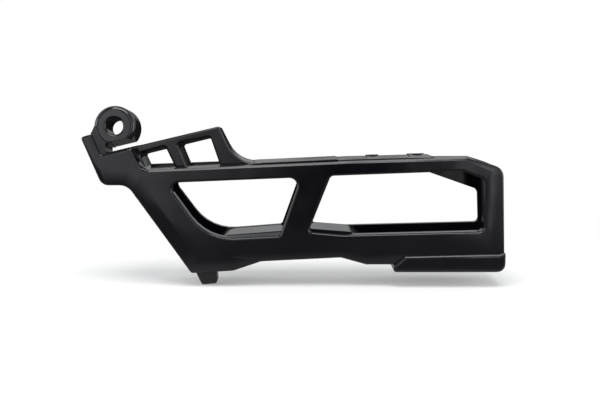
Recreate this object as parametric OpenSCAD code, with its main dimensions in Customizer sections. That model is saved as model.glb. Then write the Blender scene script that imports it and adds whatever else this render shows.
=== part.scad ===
// Rear chain guide of an off-road motorcycle, moulded in one piece.
// X runs along the chain, Y from the outer face to the swingarm side, Z up.
// The origin is the middle of the lug's bore.

/* [Channel] */
// Overall length of the body along the chain
body_length = 254.9; // [250:0.1:257]
// Depth of the body over both side plates
body_depth = 34.8; // [32:0.1:38]
// Thickness of the outer side plate
outer_wall = 6.5; // [5:0.1:7.5]
// Thickness of the inner side plate
inner_wall = 4.8; // [4:0.1:6]
// Thickness of the roof over the chain
roof_t = 7.5; // [6:0.1:8]

/* [Edges] */
// Radius of the rounded rims of the plates and bracket
edge_r = 1.2; // [0.8:0.1:1.5]
// Radius of the rounded mouths of the windows
mouth_r = 1.5; // [1:0.1:1.8]
// Drop of the wide outer bevel at the plate's rim
bevel_drop = 0.9; // [0.4:0.1:1.2]

/* [Bracket] */
// Distance of the bracket's face behind the outer face
bracket_y = 13; // [11:0.5:15]
// Slope of the rail along the bracket's top, rise over run
rail_slope = 0.2375; // [0.2:0.0025:0.27]
// Height of the rail's top edge above the bore, straight below the bore
rail_z = -13.7; // [-14.5:0.1:-13.5]
// Backward fall of the rail's top, in degrees
rail_fall = 4; // [0:0.5:8]

/* [Lug] */
// Radius of the lug
lug_r = 12.5; // [11.5:0.1:13]
// Radius of the lug's bore
bore_r = 5; // [4:0.1:6]
// Width of the lug along its bore
lug_w = 21; // [18:0.5:22]
// Backward fall of the bore, in degrees
lug_fall = 8; // [0:0.5:9]
// Distance of the bore's middle behind the outer face
lug_y = 15.5; // [14:0.5:17]
// Depth of the rounded entry of the bore
entry_r = 1.6; // [0.8:0.1:2]
// Distance of the lug's flat underside from the bore
lug_flat = 9.9; // [9:0.1:10.2]
// Width of the slot under the lug
slot_w = 3.3; // [2.5:0.1:3.5]

/* [Seat] */
// Radius of the screw holes through the seat
screw_r = 3.3; // [2.6:0.1:3.6]
// Distance of the screw holes behind the lug bore's middle
screw_y = 6.5; // [4:0.1:9]
// Height of the raised pads round the screw holes
pad_h = 0.7; // [0.5:0.05:1.4]
// Rise of the seat towards the rear, over its run
seat_slope = 0.0265; // [0.01:0.0005:0.04]
// Depth of the groove between seat and outer plate
groove_d = 1; // [0.5:0.1:1.5]

/* [Shoe] */
// How far the shoe stands proud of both plates
shoe_proud = 1.6; // [1:0.1:2]
// Radius of the shoe's rounded edges
shoe_r = 2; // [1:0.1:2.4]

/* [Hidden] */
$fn = 64;
plastic = [0.12, 0.125, 0.14];
arc_n = 6;
inner_y = body_depth - inner_wall;
lap = 0.4;

// Corner lists run anticlockwise seen from the outer side: x, z, corner radius.
// Rim of the outer plate, with the matching corner of the flat field inside its bevel
// and the bevel's share of the full drop.
rim = [
    [-19.4, -5.0, 1.5, -17.6, -6.5, 0.8, 0.2],
    [-13.8, -18.9, 0, -12.3, -17.7, 0, 0.4],
    [-7.9, -33.9, 6, -6.8, -24.2, 3, 1],
    [7.4, -33.9, 9, 13.2, -26.6, 8, 1],
    [44.9, -87.8, 2.5, 49.1, -78.9, 2, 1],
    [70.5, -86.3, 5, 69.0, -77.9, 4, 1],
    [87.5, -80.5, 8, 88.3, -72.5, 8, 1],
    [136, -78.1, 6, 135.5, -70.2, 6, 1],
    [151.5, -82.4, 5, 152.0, -74.4, 5, 1],
    [235.5, -82.4, 3, 226.9, -74.4, 1.5, 1],
    [233.0, -23.5, 7, 225.3, -25.5, 3, 0.8],
    [210.5, -17.2, 3, 210.2, -18.6, 3, 0.2],
    [141, -19.3, 0, 141, -20.6, 0, 0.2],
    [17.0, -24.6, 7, 16.3, -26.1, 8, 0.2],
    [9.2, -11.7, 1.2, 8.4, -13.5, 0.8, 0.2],
    [-7.9, -15.7, 1.5, -8.9, -17.5, 2, 0.2],
    [-13.4, -3.2, 1.2, -14.5, -5.2, 0.8, 0.2]
];
// Rim of the inner plate
inner_rim = [
    [-7.6, -33.8, 6], [7.6, -33.8, 9], [45.0, -87.6, 2.5], [70.5, -86.2, 5],
    [87.5, -80.4, 8], [136, -78.0, 6], [151.5, -82.3, 5], [235.2, -82.3, 3],
    [233.0, -24.0, 7], [217, -18.9, 3], [194.3, -19.0, 2], [191, -17.8, 2],
    [141, -19.1, 0], [84, -21.3, 0], [-2, -24.5, 0]
];
// Forward window: a straight run down the sloping bar into one long curve
fore_window = [
    [30.9, -32.4, 4], [55.2, -66.7, 30], [99.0, -64.4, 2], [111.2, -29.1, 4.5]
];
fore_window_inner = [
    [30.0, -32.4, 4], [54.4, -65.6, 30], [99.6, -62.1, 2], [111.4, -29.1, 4.5]
];
// Rear window, wider behind and with a lower chamfer there
rear_window = [
    [129.6, -28.1, 3], [116.2, -62.2, 2], [137.0, -64.1, 4], [222.0, -61.9, 2.5],
    [220.6, -29.8, 2], [208.6, -25.2, 2]
];
rear_window_inner = [
    [129.9, -28.2, 3], [116.7, -61.0, 3], [140.0, -62.8, 4], [225.0, -60.6, 3],
    [223.9, -39.8, 4], [188.5, -27.3, 3]
];
// Two small windows of the bracket, at its face and at the inner side
small_a = [[13.1, -15.7, 1.6], [18.4, -27.5, 5], [36.2, -27.5, 1], [28.8, -11.3, 1.5]];
small_a_inner = [[13.8, -17.8, 1.2], [18.2, -27.6, 5], [35.8, -27.6, 1], [28.0, -14.3, 1.2]];
small_b = [[36.2, -9.4, 2], [43.0, -26.0, 1], [63.2, -26.0, 1], [56.4, -5.6, 1.4]];
small_b_inner = [[37.4, -12.0, 1.6], [43.0, -26.0, 1], [62.2, -26.0, 1], [54.9, -7.8, 1.4]];
// Curve from the bracket's peak down to the roof
peak = [61.6, 0.8];
curve_foot = [72.4, -22.4];
// Screw pads of the seat: place along X and width
pads = [[156.5, 7.7], [183.9, 10.2]];

// Height of the seat at x
function seat_z(x) = -18.85 + (x - 141) * seat_slope;
// Unit vector from one point to another
function unit(a, b) = (b - a) / norm(b - a);
// The first two numbers of a corner
function xz(c) = [c[0], c[1]];
// Neighbours of corner i in a closed list
function before(c, i) = xz(c[(i + len(c) - 1) % len(c)]);
function after(c, i) = xz(c[(i + 1) % len(c)]);
// Sine of the turn at corner i, positive where the outline bulges outward
function turn(c, i) =
    let (u = unit(before(c, i), xz(c[i])), v = unit(xz(c[i]), after(c, i)))
    u[0] * v[1] - u[1] * v[0];
// Points of the arc of radius r that rounds corner p between neighbours a and b
function arc(a, p, b, r) =
    let (u = unit(p, a), v = unit(p, b),
         half = acos(max(-1, min(1, u * v))) / 2,
         mid = unit([0, 0], u + v),
         centre = p + mid * r / sin(half),
         start = p + u * r / tan(half) - centre,
         side = sign(u[0] * v[1] - u[1] * v[0]),
         sweep = side * (half * 2 - 180))
    [for (k = [0:arc_n]) let (t = sweep * k / arc_n)
        centre + [start[0] * cos(t) - start[1] * sin(t), start[0] * sin(t) + start[1] * cos(t)]];
// Closed outline with every corner rounded by its own radius
function rounded(c) = [for (i = [0:len(c) - 1])
    each c[i][2] == 0 ? [xz(c[i])] : arc(before(c, i), xz(c[i]), after(c, i), c[i][2])];
// Corner list moved inward by d, or outward where d is negative
function inset(c, d) = [for (i = [0:len(c) - 1])
    let (u = unit(before(c, i), xz(c[i])), v = unit(xz(c[i]), after(c, i)),
         nu = [-u[1], u[0]], nv = [-v[1], v[0]],
         p = xz(c[i]) + (nu + nv) * d / (1 + nu * nv),
         grow = turn(c, i) > 0 ? -d : d)
    [p[0], p[1], c[i][2] == 0 ? 0 : max(c[i][2] + grow, 0.3)]];
// Ring of 3-D points at depth y, each corner shifted back by its own share
function ring(c, y, shares = [], shift = 0) =
    let (counts = [for (i = [0:len(c) - 1]) c[i][2] == 0 ? 1 : arc_n + 1],
         flat = rounded(c),
         owner = [for (i = [0:len(c) - 1]) each [for (k = [1:counts[i]]) i]])
    [for (j = [0:len(flat) - 1])
        [flat[j][0], y + (len(shares) == 0 ? 0 : shift * shares[owner[j]]), flat[j][1]]];

// Solid through a stack of rings with equal counts, front ring first
module loft(rings) {
    n = len(rings[0]);
    m = len(rings);
    points = [for (r = rings) each r];
    sides = [for (k = [0:m - 2], i = [0:n - 1]) let (j = (i + 1) % n)
        each [[k * n + i, (k + 1) * n + j, (k + 1) * n + i],
              [k * n + i, k * n + j, (k + 1) * n + j]]];
    front = [[for (i = [n - 1:-1:0]) i]];
    back = [[for (i = [0:n - 1]) (m - 1) * n + i]];
    polyhedron(points = points, faces = concat(front, sides, back), convexity = 10);
}

// Upright slab of an XZ outline between two depths
module slab(points, y0, y1) {
    translate([0, y1, 0]) rotate([90, 0, 0]) linear_extrude(y1 - y0) polygon(points);
}

// Rings of a quarter round that starts at face y and goes deeper, positive r for a rim
// and negative r for the mouth of a hole
function eased(c, y, r, shares = [], shift = 0) = [for (t = [0:30:90])
    ring(inset(c, r * (1 - sin(t))), y + abs(r) * (1 - cos(t)), shares, shift)];
// The same for the face on the swingarm side, ending at face y
function eased_back(c, y, r) = [for (t = [90:-30:0])
    ring(inset(c, r * (1 - sin(t))), y - abs(r) * (1 - cos(t)))];

// Hole through a plate with a rounded mouth at its outer face
module front_cut(c, y_mouth, end, y_end) {
    loft(concat([ring(inset(c, -mouth_r - 0.3), y_mouth - 0.3)],
                eased(c, y_mouth, -mouth_r), [ring(end, y_end)]));
}

// Hole through a plate with a rounded mouth at its inner side
module back_cut(c, y_start, y_mouth) {
    loft(concat([ring(c, y_start)], eased_back(c, y_mouth, -mouth_r),
                [ring(inset(c, -mouth_r - 0.3), y_mouth + 0.3)]));
}

// Outer plate: flat field, wide bevel, rounded rim
module outer_plate() {
    field = [for (c = rim) [c[3], c[4], c[5]]];
    share = [for (c = rim) c[6]];
    difference() {
        loft(concat([ring(field, 0)], eased(rim, 0, edge_r, share, bevel_drop),
                    [ring(rim, outer_wall)]));
        front_cut(fore_window, 0, fore_window, outer_wall + 1);
        front_cut(rear_window, 0, rear_window, outer_wall + 1);
    }
}

// Inner plate with its rounded rim on the swingarm side
module inner_plate() {
    difference() {
        loft(concat([ring(inner_rim, inner_y)], eased_back(inner_rim, body_depth, edge_r)));
        back_cut(fore_window_inner, inner_y - 1, body_depth);
        back_cut(rear_window_inner, inner_y - 1, body_depth);
    }
}

// Roof and seat between the plates, with the raised pads and the lower rear end
module roof() {
    top = [
        [232.6, -29, 0], [232.2, -23.6, 6], [217, -18.7, 3], [194.6, -18.8, 2],
        [191.4, seat_z(191.4), 1.5], [141, seat_z(141), 0], [135, -19.2, 0], [133, -18.75, 0],
        [84, -21.0, 0], [76, -22.4, 0], [18, -25.2, 0]
    ];
    under = [
        [18, -32.9, 0], [33, -32.1, 0], [110, -20.3 - roof_t, 0], [209, -17.4 - roof_t, 0],
        [224, -22 - roof_t, 0], [230, -24.3 - roof_t, 0]
    ];
    slab(rounded(concat(under, top)), outer_wall - lap, body_depth - edge_r - lap);
    for (p = pads) pad(p[0], p[1] / 2);
}

// Raised pad at x with half width w, rising from the seat's middle to its back
module pad(x, w) {
    top = function (h) [
        [x - w - 0.8, -20.5, 0], [x + w + 0.8, -20.5, 0],
        [x + w, seat_z(x + w) + h, 0], [x - w, seat_z(x - w) + h, 0]
    ];
    loft([ring(top(-0.25), 14), ring(top(pad_h), 20.5), ring(top(pad_h), 32), ring(top(0.2), 32.8)]);
}

// Groove that parts the seat from the outer plate
module seat_groove() {
    slab([[88, -21.6 - groove_d], [141, -19.3 - groove_d], [187, -17.9 - groove_d],
          [187, -15], [88, -15]], outer_wall, outer_wall + 1.5);
}

// Floor that carries the chain: a crowned middle with a ramp at each end
module chain_floor() {
    crown = [
        [234.8, -81.4, 0], [172.8, -81.4, 8], [141.8, -62.8, 5], [117, -60.9, 0],
        [98, -62.5, 0], [66, -64.9, 16], [40.6, -77.6, 0]
    ];
    sole = [
        [46.0, -87.2, 2], [70.5, -85.9, 5], [87.5, -80.1, 8], [136, -77.7, 6],
        [151.5, -82.0, 5], [173, -82.1, 0], [173, -85, 0], [234.8, -85, 0]
    ];
    slab(rounded(concat(sole, crown)), outer_wall - lap, inner_y + lap);
}

// Top bracket: rail, peak and web, with its two small windows
module bracket() {
    rail_end = rail_z + peak[0] * rail_slope;
    back_y = body_depth - edge_r;
    fall = (body_depth - bracket_y) * tan(rail_fall);
    web = [
        [-8.5, -30, 0], [86, -28.5, 0], [86, -21.3, 0],
        [curve_foot[0], curve_foot[1], 18.5], [peak[0], rail_end, 1.2],
        [-8.5, rail_z - 8.5 * rail_slope, 0]
    ];
    low = [for (i = [0:5]) [web[i][0], web[i][1] - (i > 3 ? fall : 0), web[i][2]]];
    difference() {
        loft(concat(eased(web, bracket_y, edge_r),
                    [ring(low, back_y), ring(inset(low, edge_r * 0.7), body_depth - 0.3)]));
        front_cut(small_a, bracket_y, small_a_inner, body_depth + 1);
        front_cut(small_b, bracket_y, small_b_inner, body_depth + 1);
    }
    // shelf that carries the bracket over the roof
    slab([[14, -32.4], [89, -28.6], [89, -22.2], [60, -23.6], [17.4, -25.5], [14, -27]],
         outer_wall - lap, body_depth - 1.7);
}

// Cheek under the lug
module cheek() {
    cheek_rim = [
        [-7.4, -33.5, 6], [7.5, -33.5, 6], [30, -31, 0], [20, -25.6, 0], [16.8, -24.9, 7],
        [9.0, rail_z + 9.0 * rail_slope - 0.3, 0.8], [-7.9, rail_z - 7.9 * rail_slope - 0.3, 0],
        [-13.0, -12.4, 0], [-14.2, -15.6, 0]
    ];
    slab(rounded(cheek_rim), outer_wall - lap, body_depth - 1.4);
}

// Core that lightens the cheek, open to the swingarm side
module cheek_core() {
    core = [
        [-5.5, -20.6, 1.5], [-5.5, -29.3, 2.5], [9.4, -29.3, 2.5], [9.4, -18.4, 1.5], [4, -18.4, 2]
    ];
    slab(rounded(core), 10.5, body_depth + 1);
}

// Tongue that carries the lug's foot up the front edge
module tongue() {
    slab([[-18.8, -5.7], [-13.5, -18.8], [-8, -30], [-7, -14.8], [-12.9, -3.2], [-17.9, -4.6]],
         outer_wall - lap, lug_y + lug_w / 2 - 2);
}

// Lug: ring and foot drawn along a bore that falls backward, over a slot with a round end
module lug() {
    h = lug_w / 2;
    back_r = edge_r / 2;
    foot = [
        [-14.1, -4.0], [-13.4, -17], [-5.5, -17], [-5.5, -8], [0, -8], [0, 0], [-12.4, 0],
        [-12.9, -1.9], [-13.4, -3.0]
    ];
    rotate([-lug_fall, 0, 0]) difference() {
        union() {
            rotate([-90, 0, 0]) rotate_extrude() polygon(concat(
                [[0, -h]],
                [for (t = [90:-18:0])
                    [lug_r - edge_r + edge_r * cos(t), -h + edge_r - edge_r * sin(t)]],
                [[lug_r, h - back_r], [lug_r - back_r * 0.3, h - back_r * 0.3],
                 [lug_r - back_r, h], [0, h]]
            ));
            slab(foot, -h + 0.2, h - 0.2);
        }
        // slot between the flat underside and the rail
        rotate([0, -atan(rail_slope), 0]) translate([-5.6, h + 1, -lug_flat - slot_w / 2])
            rotate([90, 0, 0]) linear_extrude(lug_w + 2) union() {
                circle(slot_w / 2);
                translate([0, -slot_w / 2]) square([30, slot_w]);
            }
    }
}

// Bore with a rounded entry at both ends
module lug_bore() {
    h = lug_w / 2;
    rotate([-lug_fall, 0, 0]) rotate([-90, 0, 0]) {
        cylinder(h = lug_w + 4, r = bore_r, center = true);
        for (side = [0, 1]) mirror([0, 0, side]) rotate_extrude() polygon(concat(
            [[0, h - entry_r]],
            [for (t = [90:-18:0]) [bore_r + entry_r * (1 - sin(t)), h - entry_r * (1 - cos(t))]],
            [[bore_r + entry_r, h + 1], [0, h + 1]]
        ));
    }
}

// Shoe: raised lip that wraps the lower rear corner of both plates
module shoe() {
    lip = [
        [168.0, -86.8, 1.5], [235.7, -86.8, 5], [235.7, -73.5, 1.5], [232.4, -75.4, 1.5],
        [174.5, -76.8, 1.5], [168.0, -82.3, 1]
    ];
    difference() {
        loft(concat(eased(lip, -shoe_proud, shoe_r),
                    eased_back(lip, body_depth + shoe_proud, shoe_r)));
        translate([160, outer_wall - 0.3, -83.5]) cube([80, inner_y - outer_wall + 0.6, 20]);
    }
}

// Tab below the toe
module tab() {
    slab(rounded([[45, -84, 0], [50.8, -96.0, 1.2], [60.1, -95.2, 1.5], [60.1, -84, 0]]), 7, 16);
}

// Everything but the lug, drawn to the overall length behind its outer face
module body() {
    resize([body_length, 0, 0]) difference() {
        union() {
            outer_plate();
            inner_plate();
            roof();
            chain_floor();
            bracket();
            cheek();
            tongue();
            shoe();
            tab();
        }
        seat_groove();
        cheek_core();
    }
}

module chain_guide() {
    color(plastic) difference() {
        union() {
            translate([0, -lug_y, 0]) body();
            lug();
        }
        lug_bore();
        for (p = pads)
            translate([p[0], screw_y, -30]) cylinder(h = 20, r = screw_r);
    }
}

chain_guide();
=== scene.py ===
# Motorcycle chain guide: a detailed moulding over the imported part, in a plain pale studio.
import math

import bmesh
import bpy
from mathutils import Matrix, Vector


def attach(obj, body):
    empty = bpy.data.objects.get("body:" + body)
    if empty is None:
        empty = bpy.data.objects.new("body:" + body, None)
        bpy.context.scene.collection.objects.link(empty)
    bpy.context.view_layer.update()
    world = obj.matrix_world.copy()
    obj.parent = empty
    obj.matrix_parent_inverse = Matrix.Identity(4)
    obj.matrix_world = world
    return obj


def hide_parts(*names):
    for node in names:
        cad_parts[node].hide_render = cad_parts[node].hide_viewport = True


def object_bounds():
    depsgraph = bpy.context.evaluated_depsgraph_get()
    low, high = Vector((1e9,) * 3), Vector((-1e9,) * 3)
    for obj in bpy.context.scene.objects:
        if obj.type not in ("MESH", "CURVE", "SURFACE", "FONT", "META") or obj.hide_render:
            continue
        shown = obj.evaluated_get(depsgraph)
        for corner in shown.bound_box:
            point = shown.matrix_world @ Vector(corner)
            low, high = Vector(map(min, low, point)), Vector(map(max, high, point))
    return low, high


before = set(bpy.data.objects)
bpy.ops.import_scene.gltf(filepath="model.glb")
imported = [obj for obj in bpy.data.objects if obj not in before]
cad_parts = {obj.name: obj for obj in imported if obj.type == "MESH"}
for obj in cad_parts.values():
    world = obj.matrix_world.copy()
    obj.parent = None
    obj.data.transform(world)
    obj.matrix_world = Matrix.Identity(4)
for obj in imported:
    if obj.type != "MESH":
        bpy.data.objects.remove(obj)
box_at_load = [list(c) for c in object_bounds()]
scene = bpy.context.scene
scene.view_settings.view_transform = "Standard"
MM = 0.001

# Camera: the point at the photograph's middle, the distance to it and the angle downwards
AIM = Vector((111.285, -15.5, -42.488)) * MM
DISTANCE = 0.5
PITCH = math.radians(7.86)

# Lug, as in the part's source: tilt, outer radius, half length and its front rounding
LUG_TILT = math.radians(8)
LUG_RADIUS = 12.5 * MM
LUG_HALF = 10.5 * MM
LUG_ROUNDING = 1.2 * MM
FULLER_ROUNDING = 3.0 * MM

# Edges of the moulding: the easing's width, and what counts as a broad face and a crease
EASING = 0.35 * MM
BROAD_FACE = 60 * MM * MM
CREASE = math.radians(2.5)

# Floor: middle and reach of its round, its gap under the part
FLOOR_MIDDLE = Vector((0.105, 0.0))
FLOOR_REACH = Vector((0.37, 0.23))
FLOOR_GAP = 0.5 * MM
FLOOR_SIDES = 96

# Lamps: name, place, width, height and power, all aimed at one point of the part
LAMP_AIM = Vector((0.11, 0.0, -0.04))
LAMPS = (
    ("overhead_softbox", (0.10, -0.30, 0.80), 0.7, 0.5, 6.3),
    ("left_softbox", (-0.80, -0.25, 0.06), 0.35, 0.6, 2.5),
    ("right_softbox", (1.00, -0.25, 0.06), 0.35, 0.6, 2.5),
)


# Camera, at the photograph's place and angle
def make_camera():
    data = bpy.data.cameras.new("camera")
    data.lens = 50
    data.sensor_width = 36
    data.clip_start, data.clip_end = 0.01, 20
    cam = bpy.data.objects.new("camera", data)
    ahead = Vector((0, math.cos(PITCH), -math.sin(PITCH)))
    cam.location = AIM - ahead * DISTANCE
    cam.rotation_euler = (math.pi / 2 - PITCH, 0, 0)
    scene.collection.objects.link(cam)
    scene.camera = cam


# Empty node tree of a material or a world
def bare_tree(owner):
    owner.use_nodes = True
    owner.node_tree.nodes.clear()
    return owner.node_tree


# Node helper: adds a node, sets its inputs by name and returns it
def node(tree, kind, inputs=None, **settings):
    n = tree.nodes.new(kind)
    for key, value in settings.items():
        setattr(n, key, value)
    for key, value in (inputs or {}).items():
        n.inputs[key].default_value = value
    return n


# Value of a smooth step between two limits of a source value
def step(tree, source, start, end, low, high):
    n = node(tree, "ShaderNodeMapRange",
             {"From Min": start, "From Max": end, "To Min": low, "To Max": high},
             interpolation_type="SMOOTHSTEP")
    tree.links.new(source, n.inputs["Value"])
    return n.outputs["Result"]


# Result of a sum, product or other calculation on one or two values
def calc(tree, kind, a, b=None):
    n = node(tree, "ShaderNodeMath", operation=kind)
    for socket, value in zip(n.inputs, (a, b)):
        if isinstance(value, (int, float)):
            socket.default_value = value
        elif value is not None:
            tree.links.new(value, socket)
    return n.outputs["Value"]


# Mix of two shaders by a value
def blend(tree, share, first, second):
    n = node(tree, "ShaderNodeMixShader")
    tree.links.new(share, n.inputs["Fac"])
    tree.links.new(first, n.inputs[1])
    tree.links.new(second, n.inputs[2])
    return n.outputs["Shader"]


# Black moulded plastic: a faint tone and an uneven gloss from one cloud of noise, a fine
# grain, and the slow waves that a broad moulded face has
def moulded_plastic():
    mat = bpy.data.materials.new("black_plastic")
    tree = bare_tree(mat)
    link = tree.links.new
    out = node(tree, "ShaderNodeOutputMaterial")
    skin = node(tree, "ShaderNodeBsdfPrincipled", {"IOR": 1.5})
    link(skin.outputs["BSDF"], out.inputs["Surface"])
    place = node(tree, "ShaderNodeTexCoord").outputs["Object"]

    cloud = node(tree, "ShaderNodeTexNoise", {"Scale": 26.0, "Detail": 4.0, "Roughness": 0.55})
    link(place, cloud.inputs["Vector"])
    tone = node(tree, "ShaderNodeValToRGB")
    darker, lighter = tone.color_ramp.elements
    darker.position, darker.color = 0.32, (0.0022, 0.0023, 0.0036, 1)
    lighter.position, lighter.color = 0.7, (0.0046, 0.0048, 0.0068, 1)
    link(cloud.outputs["Fac"], tone.inputs["Fac"])
    link(tone.outputs["Color"], skin.inputs["Base Color"])
    gloss = node(tree, "ShaderNodeMapRange",
                 {"From Min": 0.3, "From Max": 0.7, "To Min": 0.10, "To Max": 0.17})
    link(cloud.outputs["Fac"], gloss.inputs["Value"])
    link(gloss.outputs["Result"], skin.inputs["Roughness"])

    grain = node(tree, "ShaderNodeTexNoise", {"Scale": 2600.0, "Detail": 2.0, "Roughness": 0.6})
    link(place, grain.inputs["Vector"])
    fine = node(tree, "ShaderNodeBump", {"Strength": 0.05, "Distance": 0.0001})
    link(grain.outputs["Fac"], fine.inputs["Height"])
    wave = node(tree, "ShaderNodeTexNoise", {"Scale": 38.0, "Detail": 1.0, "Roughness": 0.4})
    link(place, wave.inputs["Vector"])
    slow = node(tree, "ShaderNodeBump", {"Strength": 0.6, "Distance": 0.0007})
    link(wave.outputs["Fac"], slow.inputs["Height"])
    link(fine.outputs["Normal"], slow.inputs["Normal"])
    link(slow.outputs["Normal"], skin.inputs["Normal"])
    return mat


# Fuller rounding of the lug's front: the ring's corner vertices slide in along its profile
def round_lug(bm):
    axis = Vector((0, math.cos(LUG_TILT), -math.sin(LUG_TILT)))
    slack = 0.02 * MM
    reach = LUG_ROUNDING + slack
    grow = FULLER_ROUNDING / LUG_ROUNDING
    for v in bm.verts:
        along = v.co.dot(axis)
        out = v.co - axis * along
        from_face = along + LUG_HALF
        from_rim = LUG_RADIUS - out.length
        if -slack < from_face < reach and -slack < from_rim < reach:
            radius = LUG_RADIUS - max(from_rim, 0) * grow
            along = max(from_face, 0) * grow - LUG_HALF
            v.co = out.normalized() * radius + axis * along


# The groove beside the seat is shallow, as in the photograph: its bottom rises. In millimetres.
def raise_groove(bm):
    start, end = 87, 188
    front, back = -9.05, -7.45
    mouth_x, mouth_z, mouth_slope = 88.11, -21.7, 0.0353
    deepest, rise = 1.5, 0.8
    for v in bm.verts:
        x, y, z = v.co / MM
        below = mouth_z + (x - mouth_x) * mouth_slope - z
        if start < x < end and front < y < back and 0 < below < deepest:
            v.co.z += rise * MM


# The fore window's sill rises towards the wear floor behind it, and a small step parts them.
# The floor's height is a straight line on each side of a bend. In millimetres.
def raise_sill(bm):
    start, bend, end = 66.0, 69.23, 99.7
    bend_z, slope_before, slope_after = -64.664, 0.199, 0.0754
    edge_y, slack = -9.4, 0.03
    lowest_z, least_step, step_left = -67.0, 0.1, 0.2
    for v in bm.verts:
        x, y, z = v.co / MM
        slope = slope_before if x < bend else slope_after
        below = bend_z + (x - bend) * slope - z
        on_edge = start < x < end and abs(y - edge_y) < slack
        if on_edge and z > lowest_z and below > least_step:
            v.co.z = (z + below * (1 - step_left)) * MM


# The moulding's visible mesh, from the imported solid: long creases stay crisp, edges are eased
def make_guide(mat):
    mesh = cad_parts["chain_guide"].data.copy()
    bm = bmesh.new()
    bm.from_mesh(mesh)
    bmesh.ops.remove_doubles(bm, verts=bm.verts, dist=0.002 * MM)
    bmesh.ops.dissolve_limit(bm, angle_limit=math.radians(0.6), verts=bm.verts, edges=bm.edges)
    round_lug(bm)
    raise_groove(bm)
    raise_sill(bm)
    for face in bm.faces:
        face.smooth = True
    for edge in bm.edges:
        sides = edge.link_faces
        if len(sides) == 2 and min(face.calc_area() for face in sides) > BROAD_FACE:
            edge.smooth = edge.calc_face_angle(0) < CREASE
    bm.to_mesh(mesh)
    bm.free()
    mesh.materials.clear()
    mesh.materials.append(mat)
    guide = bpy.data.objects.new("moulded_guide", mesh)
    scene.collection.objects.link(guide)
    ease = guide.modifiers.new("ease", "BEVEL")
    ease.width = EASING
    ease.segments = 2
    ease.limit_method = "ANGLE"
    ease.angle_limit = math.radians(40)
    weigh = guide.modifiers.new("weigh", "WEIGHTED_NORMAL")
    weigh.mode = "FACE_AREA"
    weigh.weight = 60
    weigh.keep_sharp = True
    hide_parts("chain_guide")
    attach(guide, "root")


# Floor's material: pale paper to the camera, which shades to plain white at the rim. Other
# # rays meet a darker floor, except a painted band of light close under the part, seen only in
# reflections.
def floor_paper(centre):
    mat = bpy.data.materials.new("floor")
    tree = bare_tree(mat)
    link = tree.links.new
    out = node(tree, "ShaderNodeOutputMaterial")
    seen = node(tree, "ShaderNodeLightPath").outputs["Is Camera Ray"]
    place = node(tree, "ShaderNodeTexCoord").outputs["Object"]
    paper = node(tree, "ShaderNodeBsdfDiffuse", {"Color": (0.93, 0.93, 0.93, 1)})
    dim = node(tree, "ShaderNodeBsdfDiffuse", {"Color": (0.12, 0.12, 0.12, 1)})
    white = node(tree, "ShaderNodeEmission", {"Color": (1, 1, 1, 1), "Strength": 1.0})

    shift = node(tree, "ShaderNodeVectorMath", operation="SUBTRACT")
    shift.inputs[1].default_value = centre
    stretch = node(tree, "ShaderNodeVectorMath", operation="MULTIPLY")
    stretch.inputs[1].default_value = (1 / FLOOR_REACH.x, 1 / FLOOR_REACH.y, 0.0)
    out_from_centre = node(tree, "ShaderNodeVectorMath", operation="LENGTH")
    link(place, shift.inputs[0])
    link(shift.outputs["Vector"], stretch.inputs[0])
    link(stretch.outputs["Vector"], out_from_centre.inputs[0])
    lift = step(tree, out_from_centre.outputs["Value"], 0.45, 0.97, 0.25, 1.0)

    axes = node(tree, "ShaderNodeSeparateXYZ")
    link(place, axes.inputs[0])
    # Painted light: a brighter band of floor close under the part, for reflected rays only
    painted_reflection_band = step(tree, calc(tree, "ABSOLUTE", axes.outputs["Y"]), 0.03, 0.08, 0.45, 0.0)
    ground = blend(tree, calc(tree, "MAXIMUM", painted_reflection_band, seen),
                   dim.outputs["BSDF"], paper.outputs["BSDF"])
    surface = blend(tree, calc(tree, "MULTIPLY", lift, seen),
                    ground, white.outputs["Emission"])
    link(surface, out.inputs["Surface"])
    return mat


# Pale round of floor that keeps the part's shadow
def make_floor():
    centre = Vector((FLOOR_MIDDLE.x, FLOOR_MIDDLE.y, box_at_load[0][2] - FLOOR_GAP))
    bm = bmesh.new()
    rim = []
    for i in range(FLOOR_SIDES):
        turn = math.tau * i / FLOOR_SIDES
        reach = Vector((FLOOR_REACH.x * math.cos(turn), FLOOR_REACH.y * math.sin(turn), 0))
        rim.append(bm.verts.new(centre + reach))
    bm.faces.new(rim)
    mesh = bpy.data.meshes.new("floor")
    bm.to_mesh(mesh)
    bm.free()
    floor = bpy.data.objects.new("floor", mesh)
    scene.collection.objects.link(floor)
    mesh.materials.append(floor_paper(centre))


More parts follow.
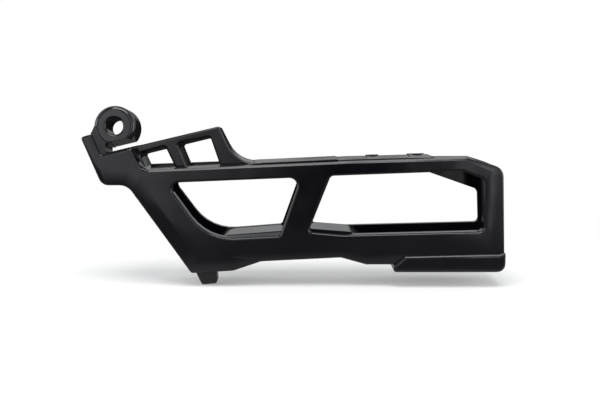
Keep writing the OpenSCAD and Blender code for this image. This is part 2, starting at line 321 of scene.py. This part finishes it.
# Strength of the studio's light by direction: panels in front, soft sides, a light behind
# above the horizon and a little from above
def studio_light(tree, x, y, z):
    aside = calc(tree, "ABSOLUTE", x)
    leftward = calc(tree, "MULTIPLY", x, -1.0)
    left_panel = step(tree, leftward, -0.02, 0.12, 0.03, 0.75)
    far_left_panel = step(tree, leftward, 0.13, 0.23, 0.0, 0.6)
    right_panel = step(tree, x, 0.15, 0.25, 0.0, 1.8)
    panels = calc(tree, "ADD", left_panel, far_left_panel)
    panels = calc(tree, "ADD", panels, right_panel)
    panels = calc(tree, "MULTIPLY", panels, step(tree, aside, 0.27, 0.42, 1.0, 0.3))
    front = calc(tree, "MULTIPLY", step(tree, y, -0.8, -0.4, 1.0, 0.0), panels)
    front = calc(tree, "MULTIPLY", front, step(tree, z, -0.4, 0.1, 0.1, 1.25))
    sides = calc(tree, "MULTIPLY", step(tree, aside, 0.4, 0.85, 0.0, 0.8),
                 step(tree, z, -0.4, 0.1, 0.3, 1.0))
    behind = calc(tree, "MULTIPLY", step(tree, y, -0.1, 0.5, 0.0, 0.55),
                  step(tree, z, 0.055, 0.12, 0.03, 1.0))
    above = step(tree, z, 0.25, 0.8, 0.0, 0.15)
    total = front
    for part in (sides, behind, above):
        total = calc(tree, "ADD", total, part)
    return total


# Soft studio round the part, plain white to the camera
def make_world():
    world = bpy.data.worlds.new("studio")
    scene.world = world
    tree = bare_tree(world)
    link = tree.links.new
    out = node(tree, "ShaderNodeOutputWorld")
    way = node(tree, "ShaderNodeTexCoord")
    axes = node(tree, "ShaderNodeSeparateXYZ")
    link(way.outputs["Generated"], axes.inputs[0])
    soft = node(tree, "ShaderNodeBackground", {"Color": (0.97, 0.985, 1.0, 1)})
    link(studio_light(tree, *(axes.outputs[k] for k in "XYZ")), soft.inputs["Strength"])
    white = node(tree, "ShaderNodeBackground", {"Color": (1, 1, 1, 1), "Strength": 1.0})
    seen = node(tree, "ShaderNodeLightPath").outputs["Is Camera Ray"]
    surface = blend(tree, seen, soft.outputs["Background"], white.outputs["Background"])
    link(surface, out.inputs["Surface"])


# One rectangular soft lamp, sizes in metres and power in watts
def softbox(name, at, width, height, power):
    data = bpy.data.lights.new(name, "AREA")
    data.shape = "RECTANGLE"
    data.size, data.size_y = width, height
    data.energy = power
    lamp = bpy.data.objects.new(name, data)
    lamp.location = at
    lamp.rotation_euler = (LAMP_AIM - Vector(at)).to_track_quat("-Z", "Y").to_euler()
    scene.collection.objects.link(lamp)


make_camera()
make_guide(moulded_plastic())
make_floor()
make_world()
for lamp in LAMPS:
    softbox(*lamp)
